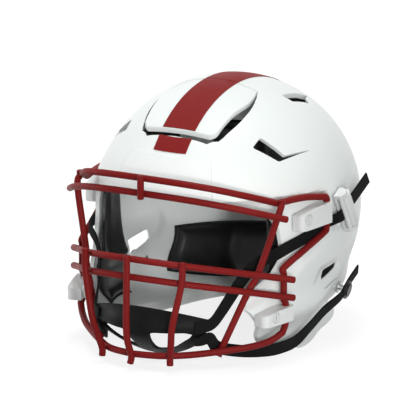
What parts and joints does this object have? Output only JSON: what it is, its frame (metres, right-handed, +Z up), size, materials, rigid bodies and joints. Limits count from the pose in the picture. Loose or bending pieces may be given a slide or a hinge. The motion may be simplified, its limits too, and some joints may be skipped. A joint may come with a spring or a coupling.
{
  "type": "football helmet",
  "caption": "Football helmet: a vented hard shell with a flexing crown panel, wire face mask, cupped chin strap with cam buckles, and a padded liner.",
  "frame": {"origin": "centre of the bounding box's base, on the plane that the neck rim and the mask's lower ends stand on", "axes": "+X to the wearer's left, +Y to the back of the head, +Z up"},
  "size_m": [0.2724, 0.3372, 0.2446],
  "materials": {
    "shell_white": "gloss",
    "bumper_white": "satin",
    "stripe_red": "gloss film",
    "hardware": "satin",
    "mask_red": "coated, semi-gloss",
    "clip_white": "gloss",
    "buckle_white": "gloss",
    "cup_black": "satin",
    "cup_foam": "matte",
    "strap_black": "matte webbing",
    "snap_black": "satin",
    "pad_black": "satin"
  },
  "bodies": {
    "helmet": {"shell": "shell_white", "brow_bumper": "bumper_white", "stripe_front": "stripe_red", "stripe_rear": "stripe_red", "brow_wire_upper": "mask_red", "brow_wire_lower": "mask_red", "brow_link": "mask_red", "cheek_wire_upper": "mask_red", "cheek_wire_lower": "mask_red", "jaw_wire": "mask_red", "centre_wire": "mask_red", "front_wire_left": "mask_red", "front_wire_right": "mask_red", "side_wire_left": "mask_red", "side_wire_right": "mask_red", "outer_wire_left": "mask_red", "outer_wire_right": "mask_red", "mask_clip_upper_left": "clip_white", "mask_clip_upper_right": "clip_white", "mask_clip_lower_left": "clip_white", "mask_clip_lower_right": "clip_white", "mask_clip_screws": "hardware", "mask_clip_nuts": "hardware", "upper_strap_left": "strap_black", "upper_strap_right": "strap_black", "lower_strap_left": "strap_black", "lower_strap_right": "strap_black", "buckle_base_left": "buckle_white", "buckle_base_right": "buckle_white", "buckle_pin_left": "hardware", "buckle_pin_right": "hardware", "lower_snap_left": "snap_black", "lower_snap_right": "snap_black", "strap_studs": "hardware", "front_pad": "pad_black", "crown_pad": "pad_black", "back_pad": "pad_black", "side_pad_left": "pad_black", "side_pad_right": "pad_black", "rear_pad": "pad_black", "jaw_pad_left": "pad_black", "jaw_pad_right": "pad_black"},
    "panel": {"flex_panel": "shell_white", "stripe_panel": "stripe_red", "panel_pad": "pad_black"},
    "chin_rest": {"chin_cup": "cup_black", "chin_cup_pad": "cup_foam"},
    "lever_left": {"buckle_lever_left": "buckle_white"},
    "lever_right": {"buckle_lever_right": "buckle_white"}
  },
  "joints": [
    {"name": "panel_flex", "type": "hinge", "parent": "helmet", "child": "panel", "pos_m": [0, 0.01345, 0.239], "axis": [1, 0, 0], "range_deg": [0, 3], "stiffness_Nm_per_rad": 40},
    {"name": "chin_pull", "type": "slide", "parent": "helmet", "child": "chin_rest", "axis": [0, 0.9539, 0.3], "range_m": [0, 0.015], "deforming": ["upper_strap_left", "upper_strap_right", "lower_strap_left", "lower_strap_right"]},
    {"name": "lever_left_turn", "type": "hinge", "parent": "helmet", "child": "lever_left", "pos_m": [0.13099, 0.02763, 0.13028], "axis": [0.0603, 0.4237, -0.9038], "range_deg": [0, 75]},
    {"name": "lever_right_turn", "type": "hinge", "parent": "helmet", "child": "lever_right", "pos_m": [-0.13099, 0.02763, 0.13028], "axis": [0.0603, -0.4237, 0.9038], "range_deg": [0, 75]}
  ]
}
